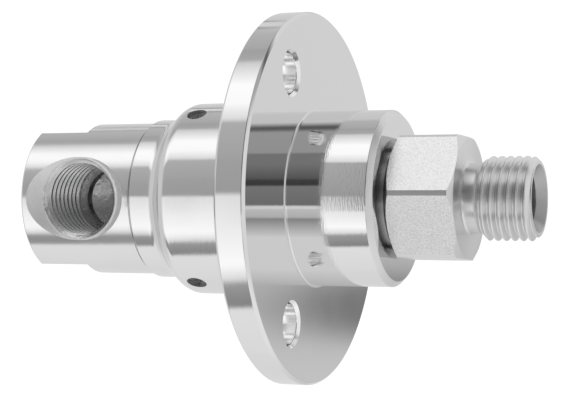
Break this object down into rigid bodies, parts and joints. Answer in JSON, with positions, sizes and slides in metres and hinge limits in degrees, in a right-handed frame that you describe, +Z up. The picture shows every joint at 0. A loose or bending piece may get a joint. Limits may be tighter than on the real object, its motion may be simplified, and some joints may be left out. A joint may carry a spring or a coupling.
{
  "type": "hydraulic rotary union",
  "caption": "Flanged right-angle rotary union: a fixed head with a threaded side inlet, ball bearings in a flanged barrel, and a rotating hexagon shaft with a male threaded outlet.",
  "frame": {"origin": "centre of the flange's front face, on the axis of rotation", "axes": "+X along the axis of rotation towards the rotating outlet thread, -Y out of the inlet port, +Z up"},
  "size_m": [0.0841, 0.06, 0.06],
  "materials": {
    "satin_steel": "fine turned and lightly polished stainless steel",
    "polished_steel": "fine turned stainless steel",
    "mirror_steel": "polished stainless steel, faintly turned",
    "milled_steel": "satin milled flats, bright threads",
    "screw_steel": "plain stainless set screws",
    "bearing_steel": "ground and polished bearing steel",
    "ball_steel": "polished balls",
    "cage_steel": "pressed sheet steel",
    "spacer_steel": "turned steel",
    "spring_steel": "phosphated spring steel",
    "seal_plastic": "smooth polyurethane",
    "backup_plastic": "white sealing plastic",
    "seal_rubber": "black nitrile rubber"
  },
  "bodies": {
    "housing": {"inlet_head": "satin_steel", "seal_housing": "polished_steel", "mounting_flange": "mirror_steel", "set_screws": "screw_steel", "front_bearing_outer_ring": "bearing_steel", "rear_bearing_outer_ring": "bearing_steel", "outer_spacer": "spacer_steel", "bearing_retaining_ring": "spring_steel", "seal_retaining_ring": "spring_steel", "pressure_seal": "seal_plastic", "seal_energiser": "seal_rubber", "backup_ring": "backup_plastic", "seal_washer": "spacer_steel", "head_o_ring": "seal_rubber", "flange_o_ring": "seal_rubber", "dust_seal": "seal_rubber"},
    "shaft": {"output_shaft": "milled_steel", "front_bearing_inner_ring": "bearing_steel", "rear_bearing_inner_ring": "bearing_steel", "inner_spacer": "spacer_steel", "shaft_retaining_ring": "spring_steel"},
    "front_ball_set": {"front_bearing_balls": "ball_steel", "front_bearing_cage": "cage_steel"},
    "rear_ball_set": {"rear_bearing_balls": "ball_steel", "rear_bearing_cage": "cage_steel"}
  },
  "joints": [
    {"name": "shaft_spin", "type": "hinge", "parent": "housing", "child": "shaft", "pos_m": [0, 0, 0], "axis": [1, 0, 0], "continuous": true},
    {"name": "front_cage_spin", "type": "hinge", "parent": "housing", "child": "front_ball_set", "pos_m": [0.0074, 0, 0], "axis": [1, 0, 0], "continuous": true},
    {"name": "rear_cage_spin", "type": "hinge", "parent": "housing", "child": "rear_ball_set", "pos_m": [-0.006, 0, 0], "axis": [1, 0, 0], "continuous": true}
  ],
  "couplings": [
    {"joint": "front_cage_spin", "follows": "shaft_spin", "ratio": 0.40278},
    {"joint": "rear_cage_spin", "follows": "shaft_spin", "ratio": 0.40278}
  ]
}
